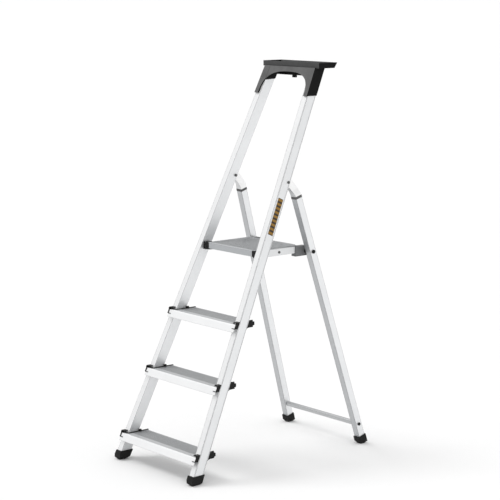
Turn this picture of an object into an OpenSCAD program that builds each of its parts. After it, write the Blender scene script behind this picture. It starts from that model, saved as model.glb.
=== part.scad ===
// Folding platform step ladder: front section with three treads and a tool tray,
// rear frame on cranked elbows, and a platform that hangs between the two.
// X is left to right, +Y is away from the climber, Z is up, and the floor is Z = 0.

/* [Front section] */
// Half of the outer width across the stiles at the floor
stile_half = 229; // [215:1:245]
// Width of a stile seen from the front
stile_w = 25.6; // [22:0.1:30]
// Depth of a stile, square to its front face
stile_d = 40.2; // [35:0.1:45]
// Wall thickness of the stile tube
stile_wall = 1.6; // [1.2:0.1:2.5]
// Angle that the stiles lean back from the vertical, in degrees
front_lean = 24.9; // [22:0.1:25.5]
// Angle that each stile closes in towards the top, in degrees
front_taper = 3.32; // [2.5:0.01:3.5]
// Height of the top end of the stiles
stile_top = 1431; // [1425:1:1432]

/* [Treads] */
// Height of the top of each tread
tread_z = [98, 331, 542];
// How far the nosing stands in front of the stiles, level with the tread
nosing = 14; // [10:1:16]
// Distance from the front of the stiles back to the rear edge of a tread
tread_back = 82; // [70:1:84]
// Height of the apron under the nosing
apron_h = 26; // [20:1:30]
// Thickness of the tread extrusion
tread_t = 2.6; // [2:0.1:4]

/* [Rear frame] */
// Half of the outer width across the rear legs at the floor
leg_half = 221; // [210:1:222]
// Width of a rear leg seen from the front
leg_w = 26.5; // [22:0.5:28]
// Depth of a rear leg, square to its front face
leg_d = 27.7; // [24:0.1:30]
// Wall thickness of a rear leg
leg_wall = 1.5; // [1.2:0.1:2.5]
// Angle that the rear legs lean forward from the vertical, in degrees
rear_lean = 16.9; // [15:0.1:17.5]
// Angle that each rear leg closes in towards the top, in degrees
rear_taper = 2.96; // [2.5:0.01:3.2]
// Distance on the floor from the stiles' front to the legs' front
foot_span = 840; // [830:1:850]
// Length of a rear leg along its own front edge
leg_len = 1009; // [1000:1:1012]
// Height of the crossbar's centre line
crossbar_z = 80; // [70:1:100]
// Radius of the crossbar tube
crossbar_r = 9.5; // [8:0.5:11]

/* [Platform] */
// Height of the platform's top
deck_z = 788; // [784:1:790]
// Half of the platform's width
deck_half = 137; // [134:0.5:137]
// Depth of the platform from its front edge to its rear edge
deck_depth = 210; // [200:1:214]
// Number of ribs across the platform's top
deck_ribs = 24; // [16:1:28]

/* [Pivots] */
// Height of the elbow pivots on the stiles
fold_z = 1029; // [1025:1:1032]
// Distance of the elbow pivots behind the front of the stiles
fold_back = 36; // [34:1:38]
// Height of the platform's hinge bolts on the rear legs
hinge_z = 765; // [762:1:768]
// Radius of the pivot and hinge bolts
bolt_r = 3.5; // [3:0.5:4.5]

/* [Tray] */
// Height of the top of the tray's rim, which is the top of the ladder
tray_top = 1455; // [1453:1:1460]
// Half of the width of the tray's rim
tray_half = 155; // [150:1:160]
// Depth of the tray's rim from front to back
tray_depth = 92; // [84:1:100]
// Height of the tray's rim band
rim_h = 20; // [16:1:22]
// Height of the lower tips of the tray's legs
tray_foot = 1336; // [1325:1:1350]

/* [Hidden] */
$fn = 48;
slope = tan(front_lean);
rear_slope = tan(rear_lean);
in_slope = tan(front_taper) / cos(front_lean);
rear_in_slope = tan(rear_taper) / cos(rear_lean);
boot = 4;
pad = 5;
front_pad = 16;
toe_rise = 20;
front_boot_h = 34;
gap = 0.3;
slip = 0.05;
bevel = 8;
toe_y = slope * toe_rise - boot / cos(front_lean);
heel_y = foot_span + (leg_d + boot) / cos(rear_lean) - rear_slope * bevel;
front_y = -(toe_y + heel_y) / 2;
rear_y = front_y + foot_span;
stile_len = 1700;
fold_y = front_y + slope * fold_z + fold_back;
hinge_y = rear_y - rear_slope * hinge_z + leg_d / 2 / cos(rear_lean);
crossbar_y = rear_y - rear_slope * crossbar_z + leg_d / 2 / cos(rear_lean);
deck_front = front_y + slope * deck_z + 6;
deck_t = 4;
rail_h = 25;
rail_t = 6;
beam_h = 22;
block_in = 118;
block_out = deck_half + 4;
cap_w = 13;
elbow_in = 141.4;
elbow_out = 159.2;
collar_h = 9;
head_r = 7;
cap_rise = 9;
cap_drop = 14;

// Half of the outer width across the stiles, and across the legs, at height z
function stile_x(z) = stile_half - in_slope * z;
function leg_x(z) = leg_half - rear_in_slope * z;
// Outer face of a stile at height z, some way back from the stiles' front
function face_x(z, back) = stile_x(z) - tan(front_taper) * sin(front_lean) * back;
// Front face of the stiles at height z
function stile_y(z) = front_y + slope * z;
// Half the length of a tread's body, and of the crossbar
function tread_half(z) = stile_x(z) - stile_w - 5.4;
crossbar_half = leg_x(crossbar_z + crossbar_r) - leg_w - 0.2;
// Outer face of the stile at the elbow pivot, and the pivot's distance up the stile
pivot_x = face_x(fold_z, fold_back);
pivot_up = fold_z / cos(front_lean) + fold_back * sin(front_lean);

// Mirrors a right-hand piece to the left when side is -1
module on_side(side) {
    if (side < 0) mirror([1, 0, 0]) children();
    else children();
}

// Puts a piece in the right stile's own frame: its outer front edge is the Z axis
module in_stile() {
    translate([stile_half, front_y, 0]) rotate([-front_lean, 0, 0])
        rotate([0, -front_taper, 0]) children();
}

// Puts a piece in the right rear leg's own frame: its outer front edge is the Z axis
module in_leg() {
    translate([leg_half, rear_y, 0]) rotate([rear_lean, 0, 0])
        rotate([0, -rear_taper, 0]) children();
}

// A slab of space between two heights
module level_slab(z0, z1) {
    translate([-400, -700, z0]) cube([800, 1400, z1 - z0]);
}

// A round bar along X from x0 to x1
module bar_x(x0, x1, y, z, r) {
    translate([x0, y, z]) rotate([0, 90, 0]) cylinder(r = r, h = x1 - x0);
}

// A box given by its two corners
module span(a, b) {
    translate(a) cube(b - a);
}

// A block of space whose bottom edges are bevelled, for the lower part of a boot
module bevelled_block(x0, x1, y0, y1) {
    top = 60;
    intersection() {
        translate([0, 700, 0]) rotate([90, 0, 0]) linear_extrude(1400) polygon([
            [x0 + bevel, 0], [x1 - bevel, 0],
            [x1 + top - bevel, top], [x0 - top + bevel, top]]);
        rotate([90, 0, 90]) linear_extrude(400) polygon([
            [y0 + bevel, 0], [y1 - bevel, 0],
            [y1 + top - bevel, top], [y0 - top + bevel, top]]);
    }
}

module stile(side) color([0.86, 0.87, 0.88]) on_side(side) difference() {
    intersection() {
        in_stile() difference() {
            translate([-stile_w, 0, -60]) cube([stile_w, stile_d, stile_len]);
            translate([stile_wall - stile_w, stile_wall, -61])
                cube([stile_w - 2 * stile_wall, stile_d - 2 * stile_wall, stile_len + 2]);
        }
        level_slab(front_pad, stile_top);
    }
    // Both side walls take the pivot bolt, and the rear wall is slotted for the elbow
    bar_x(pivot_x - stile_w - 4, pivot_x + 4, fold_y, fold_z, bolt_r);
    in_stile() translate([stile_wall - stile_w, stile_d - stile_wall - 1, pivot_up - 44])
        cube([stile_w - 2 * stile_wall, stile_wall + 2, 62]);
    // The inner wall takes the rivets of the treads and the saddle
    for (z = tread_z) bracket_rivets(z);
    saddle_rivet_pair();
    // Side grooves that run the length of the outer face
    in_stile() for (y = [2.6, stile_d - 3.8])
        translate([-0.5, y, -60]) cube([1, 1.2, stile_len]);
}

module front_foot(side) color([0.07, 0.07, 0.07]) on_side(side) difference() {
    intersection() {
        in_stile() translate([-stile_w - 3, -boot, -60])
            cube([stile_w + 6, stile_d + 2 * boot, 200]);
        // Level top, and an upright toe below the height where the stile's lean meets it
        span([0, front_y + toe_y, 0], [400, front_y + 200, front_boot_h]);
        bevelled_block(stile_half - stile_w - 3, stile_half + 3, front_y + toe_y,
            front_y + slope * bevel + (stile_d + boot) / cos(front_lean));
    }
    intersection() {
        in_stile() translate([-stile_w - 0.1, -0.1, -60])
            cube([stile_w + 0.2, stile_d + 0.2, 260]);
        level_slab(front_pad, 120);
    }
}

// Rivets that hold one end bracket to the inner wall of the right stile
module bracket_rivets(z) {
    for (dy = [12, 32]) {
        y = stile_y(z - 12) + dy;
        x = stile_x(z) - stile_w;
        bar_x(x - 5, x + 4, y, z - 12, 2.4);
    }
}

// Side outline of a tread, with y from the stiles' front and z from the tread's top
module tread_body_outline() {
    groove_pitch = 5;
    difference() {
        union() {
            translate([1, -tread_t]) square([tread_back - 1, tread_t]);
            translate([tread_back - tread_t, -20]) square([tread_t, 20]);
            translate([1, -20]) square([tread_t, 20]);
            translate([1, -20]) square([8, 1.6]);
            translate([tread_back - 8, -20]) square([8, 1.6]);
        }
        for (y = [12 : groove_pitch : tread_back - 8])
            translate([y, -0.8]) square([2, 2]);
    }
}

// Side outline of the nosing and its apron, which pass in front of the stiles
module tread_nosing_outline() {
    drop = apron_h * slope;
    polygon([
        [-nosing, -2], [-nosing + 2, 0], [-gap, 0], [-gap - tread_t * slope, -tread_t],
        [-nosing + tread_t, -tread_t],
        [-nosing + tread_t - drop, -apron_h + 2], [-nosing + tread_t - drop - 1, -apron_h],
        [-nosing - drop, -apron_h]
    ]);
}

// A side outline carried along X from -half to half
module across(half) {
    translate([-half, 0, 0]) rotate([90, 0, 90]) linear_extrude(2 * half) children();
}

module tread(i) {
    z = tread_z[i];
    color([0.66, 0.67, 0.69]) translate([0, stile_y(z), z]) {
        across(tread_half(z)) tread_body_outline();
        across(tread_half(z))
            translate([-gap - 0.1, -tread_t]) square([2, tread_t]);
        across(stile_x(z) - 2.2) tread_nosing_outline();
    }
}

// Black end bracket: flange along the stile, upright end cap round the nosing, rear wing
module tread_bracket(i, side) {
    z = tread_z[i];
    y0 = stile_y(z);
    inner = stile_x(z) - stile_w;
    outer = stile_x(z);
    wing = 44;
    nose = -nosing - 1.6;
    color([0.08, 0.08, 0.08]) on_side(side) difference() {
        union() {
            // Flange against the stile's inner face
            intersection() {
                in_stile() translate([-300, 0, 0]) cube([300 - stile_w, 200, stile_len]);
                span([inner - 5.2, y0 + 1, z - 24], [400, y0 + tread_back + 6, z + 2]);
            }
            // Raised lug at the rear inner corner
            span([inner - 9, y0 + stile_d / cos(front_lean), z + 0.05],
                 [inner - 2, y0 + stile_d / cos(front_lean) + 9, z + 8]);
            // Wing behind the stile, nearly flat on top with a sloping underside
            translate([inner - 5.2, 0, 0]) rotate([90, 0, 90]) linear_extrude(12.4) polygon([
                [y0 + wing + 1, z + 1], [y0 + tread_back + 6, z - 3],
                [y0 + tread_back + 6, z - 15], [y0 + wing + 10, z - 23],
                [y0 + wing - 4, z - 38], [y0 + wing - 10, z - 38],
                [y0 + wing - 10 + 10 * slope, z - 28]]);
            // Strap between the nosing and the stile's front
            span([inner - 5.2, y0 - 3.2, z + 0.05], [outer + 1.6, y0 - 0.2, z + 1.8]);
            span([inner - 5.2, y0 - 1, z + 0.05], [inner - 0.8, y0 + 4, z + 1.8]);
            // End wall of the cap
            translate([outer - 2, 0, 0]) rotate([90, 0, 90]) linear_extrude(3.6) polygon([
                [y0 + nose, z + cap_rise - 4], [y0 + nose + 3, z + cap_rise],
                [y0 + slope * cap_rise - 0.4, z + cap_rise],
                [y0 - slope * cap_drop - 0.4, z - cap_drop],
                [y0 + nose - slope * cap_drop, z - cap_drop], [y0 + nose, z]]);
            // Lips that run in from the end wall, above the nosing and below it
            translate([outer - 16, 0, 0]) rotate([90, 0, 90]) linear_extrude(14.5) polygon([
                [y0 + nose + 3, z + cap_rise], [y0 + nose + 1.8, z + cap_rise - 1.6],
                [y0 + slope * (cap_rise - 1.6) - 0.4, z + cap_rise - 1.6],
                [y0 + slope * cap_rise - 0.4, z + cap_rise]]);
            translate([outer - 16, 0, 0]) rotate([90, 0, 90]) linear_extrude(14.5) polygon([
                [y0 + nose + 1.4 - slope * (cap_drop - 2), z - cap_drop + 2],
                [y0 + nose - slope * (cap_drop - 2), z - cap_drop + 2],
                [y0 + nose - slope * cap_drop, z - cap_drop],
                [y0 + nose + 1.4 - slope * cap_drop, z - cap_drop]]);
        }
        bracket_rivets(z);
        in_stile() translate([-stile_w, 0, 0]) cube([stile_w, stile_d + 0.2, stile_len]);
    }
}

module tread_rivets() color([0.6, 0.6, 0.62])
    for (side = [-1, 1]) on_side(side) for (z = tread_z) bracket_rivets(z);

// Arch opening of the tray's front, as a superellipse standing on the tray's tips
module arch_outline(half, rise) {
    steps = 24;
    blunt = 2.7;
    points = [for (i = [0 : steps])
        let (t = 180 * i / steps, c = cos(t), s = sin(t))
        [half * sign(c) * pow(abs(c), 2 / blunt), rise * pow(abs(s), 2 / blunt)]];
    polygon(concat([[half, -60]], points, [[-half, -60]]));
}

module top_tray() {
    skin = 3;
    front = stile_y(tray_top) - 8;
    under = tray_top - rim_h;
    fascia = 5;
    play = 0.05;
    hook_drop = 39;
    inset = 0.6;
    color([0.2, 0.2, 0.21]) {
        difference() {
            union() {
                // Rim band with its upright front and a rear that slants out
                translate([-tray_half, 0, 0]) rotate([90, 0, 90]) linear_extrude(2 * tray_half)
                    polygon([[front, under], [front, tray_top],
                             [front + tray_depth, tray_top], [front + tray_depth - 14, under]]);
                // Cheeks, front and inner walls round the stile tops
                for (side = [-1, 1]) on_side(side) intersection() {
                    in_stile() translate([-stile_w - skin, -fascia, 0])
                        cube([stile_w + 2 * skin, stile_d + fascia + 1, stile_len]);
                    level_slab(tray_foot, under + 2);
                }
                // Front fascia between the two
                intersection() {
                    translate([0, front_y, 0]) rotate([-front_lean, 0, 0])
                        translate([-stile_x(under) + 12, inset - fascia, 0])
                            cube([2 * (stile_x(under) - 12), fascia - 1 - inset, stile_len]);
                    level_slab(tray_foot, under + 2);
                }
            }
            // Tray recess in the top
            translate([-tray_half + skin, 0, 0]) rotate([90, 0, 90])
                linear_extrude(2 * (tray_half - skin)) polygon([
                    [front + skin, tray_top - 14], [front + skin, tray_top + 1],
                    [front + tray_depth - skin + 1, tray_top + 1],
                    [front + tray_depth - skin - 9.5, tray_top - 14]]);
            // Arch through the front, clear from the tips up to the underside
            translate([0, 700, tray_foot]) rotate([90, 0, 0]) linear_extrude(1400)
                arch_outline(stile_x(tray_foot) - 17, under - 16 - tray_foot);
            // Sockets of the stile tops, open at the back
            for (side = [-1, 1]) on_side(side) intersection() {
                in_stile() translate([-stile_w - play, -play, 0])
                    cube([stile_w + 2 * play, stile_d + 8, stile_len]);
                level_slab(tray_foot - 30, stile_top);
            }
        }
        // Cross rib under the tray and the hook that hangs in front of its middle
        span([-110, front + 24, under - 31], [110, front + 27, under + 1]);
        span([-9, front + 16, under - hook_drop], [9, front + 24, under + 2]);
    }
}

module label() {
    length = 140;
    width = 24;
    color([0.62, 0.45, 0.14]) in_stile()
        translate([0, stile_d / 2 - width / 2, 944]) cube([0.4, width, length]);
}

// Rivets of the right saddle
module saddle_rivet_pair() {
    for (dy = [20, 36]) {
        z = deck_z - 18;
        x = stile_x(z) - stile_w;
        bar_x(x - 6, x + 4, stile_y(z) + dy, z, 2.4);
    }
}

// Black saddle: side wall on the stile with a ledge under the platform's front beam
module saddle(side) color([0.08, 0.08, 0.08]) on_side(side) difference() {
    intersection() {
        union() {
            span([deck_half + gap, deck_front - 1, deck_z - beam_h - 5],
                 [400, deck_front + 26, deck_z + 1]);
            span([deck_half - cap_w, deck_front + 5, deck_z - beam_h - 5],
                 [deck_half + 2, deck_front + 22, deck_z - beam_h - gap]);
        }
        in_stile() translate([-300, 0, 0]) cube([300 - stile_w, 400, stile_len]);
    }
    saddle_rivet_pair();
}

module saddle_rivets() color([0.6, 0.6, 0.62])
    for (side = [-1, 1]) on_side(side) saddle_rivet_pair();

// Pivot bolt of the elbow, through both side walls of the stile
module pivot_bolt(side) color([0.4, 0.41, 0.42]) on_side(side) {
    bar_x(pivot_x - stile_w - 5, pivot_x + 1, fold_y, fold_z, bolt_r);
    bar_x(pivot_x + 0.4, pivot_x + 2.8, fold_y, fold_z, 5.2);
}

module pivot_nuts() color([0.4, 0.41, 0.42]) for (side = [-1, 1]) on_side(side) difference() {
    translate([pivot_x - stile_w - 4.6, fold_y, fold_z]) rotate([0, 90, 0])
        cylinder(r = 5.6, h = 4.1, $fn = 6);
    bar_x(pivot_x - stile_w - 6, pivot_x, fold_y, fold_z, bolt_r);
}

// Bolt line of the right crossbar joint
module crossbar_bolt() {
    x = leg_x(crossbar_z);
    bar_x(x - leg_w - 16, x + 1, crossbar_y, crossbar_z, bolt_r);
}

// Shank of the right hinge bolt
module hinge_shank(r) {
    bar_x(block_in - 2, leg_x(hinge_z) + 1, hinge_y, hinge_z, r);
}

module rear_leg(side) color([0.82, 0.83, 0.85]) on_side(side) difference() {
    intersection() {
        in_leg() difference() {
            translate([-leg_w, 0, -60]) cube([leg_w, leg_d, leg_len + 60]);
            translate([leg_wall - leg_w, leg_wall, -61])
                cube([leg_w - 2 * leg_wall, leg_d - 2 * leg_wall, leg_len + 62]);
        }
        level_slab(pad, 1200);
    }
    crossbar_bolt();
    hinge_shank(bolt_r);
}

module leg_collar(side) color([0.1, 0.1, 0.1]) on_side(side) in_leg() {
    play = 0.1;
    translate([-leg_w - 0.6, -0.6, leg_len]) cube([leg_w + 1.2, leg_d + 1.2, collar_h]);
    translate([leg_wall - leg_w + play, leg_wall + play, leg_len - 30])
        cube([leg_w - 2 * (leg_wall + play), leg_d - 2 * (leg_wall + play), 31]);
}

// Side outline of the elbow in the plane of the leg: an arc from the leg to the pivot
module elbow_outline(pivot, base) {
    r = leg_d / 2;
    across_run = r - pivot[0];
    up_run = pivot[1] - base;
    bend = (across_run * across_run + up_run * up_run) / (2 * across_run);
    sweep = atan2(up_run, bend - across_run);
    translate(pivot) circle(r = r);
    translate([r - bend, base]) intersection() {
        difference() {
            circle(r = bend + r);
            circle(r = bend - r);
        }
        polygon([[0, 0], [400, 0], [400 * cos(sweep), 400 * sin(sweep)]]);
    }
}

// Curved elbow: a block on the leg's collar and an arm that enters the slotted stile
module elbow(side) {
    // The leg's axes, with v square to its front face and u up along it
    dy = fold_y - rear_y;
    u = fold_z * cos(rear_lean) - dy * sin(rear_lean);
    v = fold_z * sin(rear_lean) + dy * cos(rear_lean);
    base = leg_len + collar_h;
    color([0.84, 0.85, 0.86]) on_side(side) difference() {
        union() {
            translate([elbow_in, rear_y, 0]) rotate([rear_lean, 0, 0]) rotate([90, 0, 90])
                linear_extrude(elbow_out - elbow_in) elbow_outline([v, u], base - 3);
            // Shoulder that widens from the arm to the leg
            intersection() {
                translate([100, rear_y, 0]) rotate([rear_lean, 0, 0]) rotate([90, 0, 90])
                    linear_extrude(100) elbow_outline([v, u], base - 3);
                in_leg() translate([0, 200, 0]) rotate([90, 0, 0]) linear_extrude(400) polygon([
                    [-leg_w, base], [0, base], [0, base + 6], [-9, base + 27],
                    [-leg_w + 2, base + 27], [-leg_w, base + 6]]);
            }
        }
        in_leg() translate([-80, -30, base - 40]) cube([120, 90, 40]);
        bar_x(elbow_in - 1, elbow_out + 1, fold_y, fold_z, bolt_r + slip);
    }
}

module rear_foot(side) color([0.07, 0.07, 0.07]) on_side(side) difference() {
    intersection() {
        in_leg() translate([-leg_w - 3, -boot, -60])
            cube([leg_w + 6, leg_d + 2 * boot, 60 + 30]);
        bevelled_block(leg_half - leg_w - 3, leg_half + 3,
            rear_y - rear_slope * bevel - boot / cos(rear_lean), front_y + heel_y);
    }
    intersection() {
        in_leg() translate([-leg_w - 0.1, -0.1, -60])
            cube([leg_w + 0.2, leg_d + 0.2, 160]);
        level_slab(pad, 120);
    }
}

module crossbar() color([0.83, 0.84, 0.85]) difference() {
    bar_x(-crossbar_half, crossbar_half, crossbar_y, crossbar_z, crossbar_r);
    bar_x(-crossbar_half - 1, crossbar_half + 1, crossbar_y, crossbar_z, crossbar_r - 1.4);
}

module crossbar_plugs() color([0.1, 0.1, 0.1]) for (side = [-1, 1]) on_side(side) difference() {
    bar_x(crossbar_half - 24, crossbar_half, crossbar_y, crossbar_z, crossbar_r - 1.4);
    crossbar_bolt();
}

module crossbar_bolts() color([0.12, 0.12, 0.12]) for (side = [-1, 1]) on_side(side) {
    crossbar_bolt();
    bar_x(leg_x(crossbar_z) + 0.8, leg_x(crossbar_z) + 4, crossbar_y, crossbar_z, 6);
}

module hinge_bolt(side) color([0.1, 0.1, 0.1]) on_side(side) {
    hinge_shank(bolt_r);
    bar_x(leg_x(hinge_z) + 0.8, leg_x(hinge_z) + 4.4, hinge_y, hinge_z, head_r);
    bar_x(block_in - 4, block_in - gap, hinge_y, hinge_z, head_r);
}

module hinge_spacers() color([0.08, 0.08, 0.08]) for (side = [-1, 1]) on_side(side) difference() {
    bar_x(block_out + gap, leg_x(hinge_z) - leg_w - 1.2, hinge_y, hinge_z, 11);
    hinge_shank(bolt_r);
}

// Ribbed plank whose ribs run from side to side
module platform_deck() {
    pitch = (deck_depth - 16) / deck_ribs;
    color([0.7, 0.71, 0.73]) translate([0, deck_front, deck_z]) across(deck_half) difference() {
        translate([6, -deck_t]) square([deck_depth - 6, deck_t]);
        for (i = [0 : deck_ribs - 1])
            translate([13 + i * pitch, -1.4]) square([pitch / 2, 2]);
    }
}

module platform_beam() color([0.74, 0.75, 0.77]) translate([0, deck_front, deck_z])
    across(deck_half - cap_w - 0.1) difference() {
        translate([0, -beam_h]) square([24, beam_h]);
        translate([2.4, -beam_h + 2.4]) square([22, beam_h - 4.8 - deck_t + 2.4]);
        translate([6, -deck_t]) square([20, 10]);
    }

// Black caps on the ends of the front beam, notched for the deck
module platform_end_caps() color([0.08, 0.08, 0.08]) for (side = [-1, 1]) on_side(side)
    translate([deck_half - cap_w, deck_front, deck_z]) rotate([90, 0, 90]) linear_extrude(cap_w)
        polygon([[-0.8, -beam_h], [23.8, -beam_h], [23.8, -deck_t - 0.05],
                 [5.9, -deck_t - 0.05], [5.9, 0], [-0.8, 0]]);

module rail(side) color([0.84, 0.85, 0.86]) on_side(side) difference() {
    span([deck_half - rail_t, deck_front + 24, deck_z - deck_t - rail_h],
         [deck_half, deck_front + deck_depth - 12, deck_z - deck_t]);
    platform_rivet_hole();
}

// Black block at the rear end of a rail, which turns on the hinge bolt
module hinge_block(side) color([0.09, 0.09, 0.09]) on_side(side) difference() {
    union() {
        span([block_in, deck_front + deck_depth - 12, hinge_z - 18],
             [block_out, hinge_y, deck_z - deck_t]);
        bar_x(block_in, block_out, hinge_y, hinge_z, 18);
    }
    hinge_shank(bolt_r + slip);
}

module platform_rear_bar() color([0.16, 0.16, 0.17])
    span([-block_in + gap, deck_front + deck_depth, deck_z - 24],
         [block_in - gap, deck_front + deck_depth + 5, deck_z]);

// Hole and rivet half way along a rail
module platform_rivet_hole() {
    bar_x(deck_half - rail_t - 2, deck_half + 1, deck_front + 120, deck_z - deck_t - 13, 3);
}

module platform_rivets() color([0.55, 0.55, 0.57]) for (side = [-1, 1]) on_side(side) {
    platform_rivet_hole();
    bar_x(deck_half, deck_half + 1.6, deck_front + 120, deck_z - deck_t - 13, 5);
}

stile(1);  // right_stile
stile(-1);  // left_stile
front_foot(1);  // right_front_foot
front_foot(-1);  // left_front_foot
tread(0);  // tread_1
tread(1);  // tread_2
tread(2);  // tread_3
tread_bracket(0, 1);  // tread_1_right_bracket
tread_bracket(0, -1);  // tread_1_left_bracket
tread_bracket(1, 1);  // tread_2_right_bracket
tread_bracket(1, -1);  // tread_2_left_bracket
tread_bracket(2, 1);  // tread_3_right_bracket
tread_bracket(2, -1);  // tread_3_left_bracket
tread_rivets();
top_tray();
label();
saddle(1);  // right_saddle
saddle(-1);  // left_saddle
saddle_rivets();
pivot_bolt(1);  // right_pivot_bolt
pivot_bolt(-1);  // left_pivot_bolt
pivot_nuts();
rear_leg(1);  // right_rear_leg
rear_leg(-1);  // left_rear_leg
leg_collar(1);  // right_leg_collar
leg_collar(-1);  // left_leg_collar
elbow(1);  // right_elbow
elbow(-1);  // left_elbow
rear_foot(1);  // right_rear_foot
rear_foot(-1);  // left_rear_foot
crossbar();
crossbar_plugs();
crossbar_bolts();
hinge_bolt(1);  // right_hinge_bolt
hinge_bolt(-1);  // left_hinge_bolt
hinge_spacers();
platform_deck();
platform_beam();
platform_end_caps();
rail(1);  // right_rail
rail(-1);  // left_rail
hinge_block(1);  // right_hinge_block
hinge_block(-1);  // left_hinge_block
platform_rear_bar();
platform_rivets();
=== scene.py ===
import math
import bpy
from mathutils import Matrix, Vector


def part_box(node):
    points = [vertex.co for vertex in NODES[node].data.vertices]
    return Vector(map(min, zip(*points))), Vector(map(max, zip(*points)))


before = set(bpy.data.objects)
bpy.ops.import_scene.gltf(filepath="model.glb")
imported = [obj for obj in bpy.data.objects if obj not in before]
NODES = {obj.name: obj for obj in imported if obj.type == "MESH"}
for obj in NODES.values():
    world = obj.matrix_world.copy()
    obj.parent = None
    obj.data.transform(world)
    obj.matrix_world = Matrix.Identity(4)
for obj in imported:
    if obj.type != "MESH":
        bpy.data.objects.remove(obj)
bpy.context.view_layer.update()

# ---------------------------------------------------------------- camera and light

CAMERA_SPOT = Vector((4.565, -3.8615, 1.742))
CAMERA_TURN = math.radians(49.55)
CAMERA_DIP = math.radians(9.25)
SENSOR_MM = 36.0
LENS_MM = 117.792
FAR_LIMIT = 900.0
FLOOR_HALF = 300.0


def make_camera():
    data = bpy.data.cameras.new("camera")
    data.sensor_width = SENSOR_MM
    data.lens = LENS_MM
    data.clip_end = FAR_LIMIT
    cam = bpy.data.objects.new("camera", data)
    bpy.context.scene.collection.objects.link(cam)
    cam.location = CAMERA_SPOT
    cam.rotation_euler = (math.radians(90) - CAMERA_DIP, 0, CAMERA_TURN)
    bpy.context.scene.camera = cam


def area_light(name, spot, aim, size, power):
    data = bpy.data.lights.new(name, "AREA")
    data.shape = "RECTANGLE"
    data.size, data.size_y = size
    data.energy = power
    lamp = bpy.data.objects.new(name, data)
    lamp.location = spot
    lamp.rotation_euler = (Vector(aim) - Vector(spot)).to_track_quat("-Z", "Y").to_euler()
    bpy.context.scene.collection.objects.link(lamp)


def sun(name, towards, power, spread):
    """A distant soft light that shines along the direction given."""
    data = bpy.data.lights.new(name, "SUN")
    data.energy = power
    data.angle = math.radians(spread)
    lamp = bpy.data.objects.new(name, data)
    lamp.rotation_euler = Vector(towards).to_track_quat("-Z", "Y").to_euler()
    bpy.context.scene.collection.objects.link(lamp)


def make_lights():
    sun("key", towards=(0.75, 0.55, -1.5), power=0.88, spread=26)
    area_light("side", spot=(4.6, 1.2, 1.9), aim=(0, 0, 0.8), size=(1.2, 2.6), power=16)
    world = bpy.data.worlds.new("studio")
    world.use_nodes = True
    back = world.node_tree.nodes["Background"]
    back.inputs["Color"].default_value = (1, 1, 1, 1)
    back.inputs["Strength"].default_value = 0.84
    bpy.context.scene.world = world
    bpy.context.scene.view_settings.view_transform = "Standard"


# ---------------------------------------------------------------- materials


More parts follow.
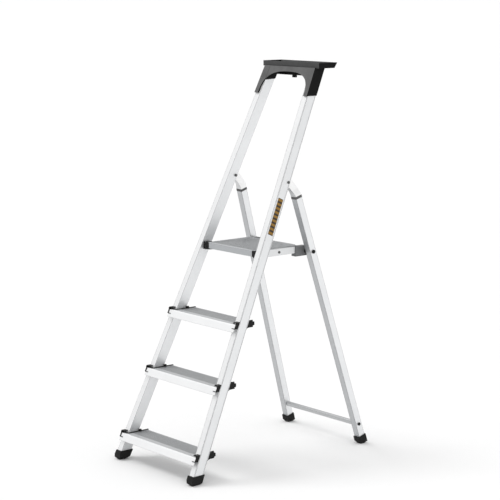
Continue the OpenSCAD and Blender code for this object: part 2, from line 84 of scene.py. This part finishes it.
class Graph:
    """A material under construction: short calls to add and join shader nodes."""

    def __init__(self, name, **surface):
        self.mat = bpy.data.materials.new(name)
        self.mat.use_nodes = True
        self.tree = self.mat.node_tree
        self.shader = self.tree.nodes["Principled BSDF"]
        for socket, value in surface.items():
            self.shader.inputs[socket.replace("_", " ")].default_value = value

    def add(self, kind, **settings):
        node = self.tree.nodes.new("ShaderNode" + kind)
        for key, value in settings.items():
            setattr(node, key, value)
        return node

    def join(self, source, out, target, into):
        self.tree.links.new(source.outputs[out], target.inputs[into])

    def place(self, scale=(1, 1, 1), turn=(0, 0, 0)):
        """Object coordinates in metres, turned and scaled."""
        coords = self.add("TexCoord")
        mapping = self.add("Mapping")
        mapping.inputs["Scale"].default_value = scale
        mapping.inputs["Rotation"].default_value = turn
        self.join(coords, "Object", mapping, "Vector")
        return mapping

    def noise(self, scale, detail=4.0, stretch=(1, 1, 1), turn=(0, 0, 0), rough=0.55):
        spot = self.place(stretch, turn)
        node = self.add("TexNoise")
        node.inputs["Scale"].default_value = scale
        node.inputs["Detail"].default_value = detail
        node.inputs["Roughness"].default_value = rough
        self.join(spot, "Vector", node, "Vector")
        return node

    def ramp(self, source, out, low, high, at=(0.0, 1.0)):
        node = self.add("ValToRGB")
        node.color_ramp.elements[0].position = at[0]
        node.color_ramp.elements[1].position = at[1]
        node.color_ramp.elements[0].color = (*low, 1)
        node.color_ramp.elements[1].color = (*high, 1)
        self.join(source, out, node, "Fac")
        return node

    def mix(self, fac, a, b, blend="MIX"):
        """The colour socket of a mix; a and b are colour tuples or colour sockets."""
        node = self.add("Mix", data_type="RGBA", blend_type=blend)
        self.feed(node, "Factor", fac)
        for key, value in (("A", a), ("B", b)):
            socket = [s for s in node.inputs if s.name == key and s.type == "RGBA"][0]
            if isinstance(value, tuple):
                socket.default_value = (*value, 1)
            else:
                self.tree.links.new(value, socket)
        return [s for s in node.outputs if s.type == "RGBA"][0]

    def feed(self, node, key, value):
        socket = [s for s in node.inputs if s.name == key and s.type == "VALUE"][0]
        if isinstance(value, (int, float)):
            socket.default_value = value
        else:
            self.tree.links.new(value[0].outputs[value[1]], socket)

    def math(self, operation, a, b=0.0):
        node = self.add("Math", operation=operation)
        for i, value in enumerate((a, b)):
            if isinstance(value, (int, float)):
                node.inputs[i].default_value = value
            else:
                self.tree.links.new(value[0].outputs[value[1]], node.inputs[i])
        return node

    def edges(self, radius, samples=6):
        """1 near an edge and 0 on flat faces; the rounded normal is kept for the bump."""
        bevel = self.add("Bevel", samples=samples)
        bevel.inputs["Radius"].default_value = radius
        geometry = self.add("NewGeometry")
        dot = self.add("VectorMath", operation="DOT_PRODUCT")
        self.join(bevel, "Normal", dot, 0)
        self.join(geometry, "Normal", dot, 1)
        spread = self.add("MapRange")
        spread.inputs["From Min"].default_value = 0.995
        spread.inputs["From Max"].default_value = 0.86
        self.join(dot, "Value", spread, "Value")
        self.rounded = bevel
        return spread

    def bump(self, height, out, strength, distance, below=None):
        node = self.add("Bump")
        node.inputs["Strength"].default_value = strength
        node.inputs["Distance"].default_value = distance
        self.join(height, out, node, "Height")
        if below is not None:
            self.join(below, "Normal", node, "Normal")
        self.join(node, "Normal", self.shader, "Normal")
        return node

    def colour(self, socket):
        self.tree.links.new(socket, self.shader.inputs["Base Color"])

    def roughness(self, source, out, low, high):
        node = self.add("MapRange")
        node.inputs["To Min"].default_value = low
        node.inputs["To Max"].default_value = high
        self.join(source, out, node, "Value")
        self.join(node, "Result", self.shader, "Roughness")


def aluminium(name, tone, along, rough=(0.34, 0.5), metallic=0.72, edge_shade=0.62, lip=0.0011):
    """Extruded aluminium: fine die lines along the profile, faint clouding, a grey line of painted
    shade at edges.

    along is the turn that lays the profile's length on the texture's Z axis."""
    g = Graph(name, Metallic=metallic, Specular_IOR_Level=0.5)
    lines = g.noise(1.0, 5.0, stretch=(900, 900, 5), turn=along)
    cloud = g.noise(9.0, 3.0)
    dark = tuple(t * 0.93 for t in tone)
    pale = tuple(min(1.0, t * 1.04) for t in tone)
    base = g.ramp(cloud, "Fac", dark, tone, (0.35, 0.7))
    streak = g.mix((lines, "Fac"), base.outputs["Color"], pale)
    edge = g.edges(lip)
    # Painted shade: the band along edges is darkened to stand in for shade and dark reflection on
    # rounded corners.
    edge_shade_tone = tuple(t * edge_shade for t in tone)
    g.colour(g.mix((edge, "Result"), streak, edge_shade_tone))
    g.roughness(lines, "Fac", *rough)
    g.bump(lines, "Fac", 0.18, 0.0004, below=g.rounded)
    return g.mat


def moulded(name, tone, grain=1400.0, rough=(0.42, 0.62), depth=0.25, worn=1.6, shine=0.25):
    """Moulded plastic or rubber: spark-eroded grain, slight mottling, greyer worn edges."""
    g = Graph(name, Specular_IOR_Level=shine)
    fine = g.noise(grain, 3.0)
    cloud = g.noise(26.0, 4.0)
    dark = tuple(t * 0.84 for t in tone)
    pale = tuple(t * 1.16 for t in tone)
    base = g.ramp(cloud, "Fac", dark, pale, (0.3, 0.72))
    edge = g.edges(0.0012)
    half_edge = g.math("MULTIPLY", (edge, "Result"), 0.5)
    worn_tone = tuple(min(1.0, t * worn + 0.004) for t in tone)
    g.colour(g.mix((half_edge, "Value"), base.outputs["Color"], worn_tone))
    g.roughness(cloud, "Fac", *rough)
    g.bump(fine, "Fac", depth, 0.0003, below=g.rounded)
    return g.mat


def steel(name, tone, rough=(0.28, 0.45)):
    """Zinc-plated steel with a fine spangle."""
    g = Graph(name, Metallic=0.9)
    spangle = g.noise(420.0, 2.0)
    base = g.ramp(spangle, "Fac", tuple(t * 0.8 for t in tone), tone, (0.35, 0.65))
    g.colour(base.outputs["Color"])
    g.roughness(spangle, "Fac", *rough)
    g.bump(spangle, "Fac", 0.1, 0.0002)
    return g.mat


def film_label(name):
    """Printed film: amber ground with plain brown bands across it, no lettering."""
    g = Graph(name, Specular_IOR_Level=0.4)
    spot = g.place(turn=UP_STILE)
    wave = g.add("TexWave", wave_type="BANDS", bands_direction="Z", wave_profile="SAW")
    wave.inputs["Scale"].default_value = 20.0
    wave.inputs["Distortion"].default_value = 0.0
    g.join(spot, "Vector", wave, "Vector")
    bands = g.ramp(wave, "Fac", (0.03, 0.018, 0.007), (0.27, 0.14, 0.012), (0.42, 0.50))
    speck = g.noise(600.0, 2.0)
    worn = g.ramp(speck, "Fac", (0.9, 0.9, 0.9), (1.0, 1.0, 1.0), (0.3, 0.6))
    g.colour(g.mix(1.0, bands.outputs["Color"], worn.outputs["Color"], "MULTIPLY"))
    g.roughness(speck, "Fac", 0.3, 0.45)
    g.bump(speck, "Fac", 0.06, 0.0001)
    return g.mat


# Lean of the stiles and of the rear legs from upright, and the turns that lay a profile's length
# on the texture's Z axis
FRONT_LEAN = math.radians(24.9)
REAR_LEAN = math.radians(16.9)
UP_STILE = (FRONT_LEAN, 0, 0)
UP_LEG = (-REAR_LEAN, 0, 0)
ALONG_X = (0, math.radians(90), 0)
ALONG_Y = (math.radians(90), 0, 0)


def grey(level, cool=0.0):
    """A neutral tone, a little bluer as cool rises."""
    return (level * (1 - cool), level, min(1.0, level * (1 + cool)))


# Stiles, legs, elbows, treads, deck, beam and tray have several finishes, picked by where a face looks
# or lies. The tones were set towards the brightness of each face in the reference under these lights,
# so part of that shading is in the base colours. They are not measured surface colours.
STILE = {"front": aluminium("stile_front", grey(0.90, 0.006), UP_STILE, (0.34, 0.48),
                            edge_shade=0.22, lip=0.003),
         "side": aluminium("stile_side", grey(0.80, 0.012), UP_STILE, (0.26, 0.4),
                           edge_shade=0.3, lip=0.0022),
         "back": aluminium("stile_back", grey(0.72, 0.012), UP_STILE)}
LEG = {"front": aluminium("leg_front", grey(0.52, 0.022), UP_LEG, (0.32, 0.46),
                          edge_shade=0.22, lip=0.003),
       "side": aluminium("leg_side", grey(0.82, 0.012), UP_LEG, (0.26, 0.4),
                         edge_shade=0.3, lip=0.003),
       "back": aluminium("leg_back", grey(0.68, 0.012), UP_LEG)}
ELBOW = {"side": aluminium("elbow_side", grey(0.90), UP_LEG, (0.35, 0.5), edge_shade=0.7),
         "front": aluminium("elbow_edge", grey(0.66, 0.01), UP_LEG, (0.35, 0.5))}
TREAD = {"top": aluminium("tread_top", grey(0.40, 0.025), ALONG_X, (0.4, 0.55), 0.5, lip=0.0004),
         "groove": aluminium("tread_groove", grey(0.2, 0.02), ALONG_X, (0.5, 0.65), 0.4, lip=0.0003),
         "nosing": aluminium("tread_nosing", grey(0.62, 0.015), ALONG_X, (0.35, 0.5)),
         "front": aluminium("tread_front", grey(0.90, 0.006), ALONG_X, (0.36, 0.5), 0.5, lip=0.002),
         "other": aluminium("tread_under", grey(0.55, 0.01), ALONG_X)}
DECK = {"top": aluminium("deck_top", grey(0.60, 0.022), ALONG_X, (0.4, 0.55), 0.5, lip=0.0004),
        "groove": aluminium("deck_groove", grey(0.26, 0.022), ALONG_X, (0.5, 0.65), 0.4, lip=0.0003),
        "front": aluminium("beam_front", grey(0.46, 0.03), ALONG_X, (0.35, 0.5)),
        "other": aluminium("deck_under", grey(0.55, 0.01), ALONG_X)}
RAIL_METAL = aluminium("rail_metal", grey(0.74, 0.01), ALONG_Y)
BAR_METAL = aluminium("bar_metal", grey(0.50, 0.015), ALONG_X, (0.22, 0.34), 0.9, lip=0.0004)
BRIGHT = steel("bright_steel", grey(0.45))
DARK_STEEL = steel("dark_steel", grey(0.12))
BLACK = moulded("black_plastic", grey(0.008), shine=0.18)
BAND = moulded("collar_plastic", grey(0.10), shine=0.2)
HINGE = moulded("hinge_plastic", grey(0.16, 0.02), shine=0.3)
TRAY = {"front": moulded("tray_face", grey(0.125), 1100.0, (0.5, 0.65), 0.3, shine=0.2),
        "rim": moulded("tray_rim", grey(0.062), 1100.0, (0.45, 0.62), 0.3, shine=0.18),
        "side": moulded("tray_side", grey(0.005), 1100.0, (0.4, 0.55), 0.3, shine=0.08),
        "floor": moulded("tray_floor", grey(0.09), 700.0, (0.5, 0.65), 0.4, shine=0.2)}
RUBBER = moulded("foot_rubber", grey(0.007), 900.0, (0.5, 0.7), 0.35, shine=0.2)
FILM = film_label("label_film")

# Heights and depths in metres that sort the faces of a node
TRAY_UNDERSIDE = 1.4355
RIBBED_LAYER = 0.0035
DECK_RIBS = 0.003
GROOVE_START = 0.0004
NOSING_DEPTH = 0.036
APRON_DEPTH = 0.03


def material_of(name):
    """The one finish of a node whose faces all look alike."""
    if name == "label":
        return FILM
    if "foot" in name:
        return RUBBER
    if "collar" in name:
        return BAND
    if "hinge_block" in name:
        return HINGE
    if "tread_rivets" in name or "saddle_rivets" in name:
        return BRIGHT
    if "rivets" in name or "pivot" in name:
        return DARK_STEEL
    if name.endswith("rail"):
        return RAIL_METAL
    if name == "crossbar":
        return BAR_METAL
    return BLACK


def shade_and_finish_by_face(name):
    """The set of finishes for a node, whose tones hold painted light and shade, and the rule that
    picks one for a face.
    """
    leaning = name.endswith("stile")
    if leaning or name.endswith("rear_leg"):
        def pick(normal, spot):
            if abs(normal.x) > 0.7:
                return "side"
            return "front" if normal.y < 0 else "back"
        return (STILE if leaning else LEG), pick
    if name.endswith("elbow"):
        return ELBOW, lambda normal, spot: "side" if abs(normal.x) > 0.7 else "front"
    if name in ("tread_1", "tread_2", "tread_3"):
        low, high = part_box(name)

        def pick(normal, spot):
            if normal.y < -0.6:
                return "front" if spot.y < low[1] + APRON_DEPTH else "other"
            if spot.z < high[2] - RIBBED_LAYER:
                return "other"
            if spot.y < low[1] + NOSING_DEPTH:
                return "nosing"
            return "groove" if spot.z < high[2] - GROOVE_START else "top"
        return TREAD, pick
    if name in ("platform_deck", "platform_beam"):
        low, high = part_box(name)

        def pick(normal, spot):
            if high[2] - DECK_RIBS < spot.z < high[2] - GROOVE_START:
                return "groove"
            if normal.z > 0.7:
                return "top"
            return "front" if normal.y < -0.7 else "other"
        return DECK, pick
    if name == "top_tray":
        def pick(normal, spot):
            if abs(normal.x) > 0.6 or normal.z < -0.3:
                return "side"
            if normal.z > 0.8:
                return "floor"
            if spot.z > TRAY_UNDERSIDE:
                return "rim"
            if normal.y < -0.95:
                return "side"
            return "front" if normal.y < 0 else "side"
        return TRAY, pick
    return None, None


ROUNDING = {"foot": 0.0038, "tray": 0.0012, "stile": 0.0012, "leg": 0.0012, "elbow": 0.0012,
            "bracket": 0.0005, "saddle": 0.0008, "block": 0.0015, "caps": 0.0008}


def round_edges(name, obj):
    """A small modelled radius on the sharp edges, so that they catch the light."""
    for key, width in ROUNDING.items():
        if key in name:
            bevel = obj.modifiers.new("rounding", "BEVEL")
            bevel.width = width
            bevel.segments = 2
            bevel.limit_method = "ANGLE"
            bevel.angle_limit = math.radians(35)
            bevel.use_clamp_overlap = True
            return


def dress_cad_nodes():
    for name, obj in NODES.items():
        mesh = obj.data
        mesh.materials.clear()
        finishes, pick = shade_and_finish_by_face(name)
        if finishes is None:
            mesh.materials.append(material_of(name))
            for face in mesh.polygons:
                face.material_index = 0
        else:
            order = sorted(finishes)
            for key in order:
                mesh.materials.append(finishes[key])
            turn = obj.matrix_world.to_3x3()
            for face in mesh.polygons:
                key = pick(turn @ face.normal, obj.matrix_world @ face.center)
                face.material_index = order.index(key)
        round_edges(name, obj)


# ---------------------------------------------------------------- floor


def make_floor():
    g = Graph("floor_paper", Specular_IOR_Level=0.2)
    grain = g.noise(40.0, 3.0)
    base = g.ramp(grain, "Fac", (0.94, 0.94, 0.94), (0.955, 0.955, 0.955))
    g.colour(base.outputs["Color"])
    g.roughness(grain, "Fac", 0.75, 0.85)
    mesh = bpy.data.meshes.new("floor")
    half = FLOOR_HALF
    corners = [(-half, -half, 0), (half, -half, 0), (half, half, 0), (-half, half, 0)]
    mesh.from_pydata(corners, [], [(0, 1, 2, 3)])
    mesh.materials.append(g.mat)
    floor = bpy.data.objects.new("floor", mesh)
    bpy.context.scene.collection.objects.link(floor)


make_camera()
make_lights()
make_floor()
dress_cad_nodes()
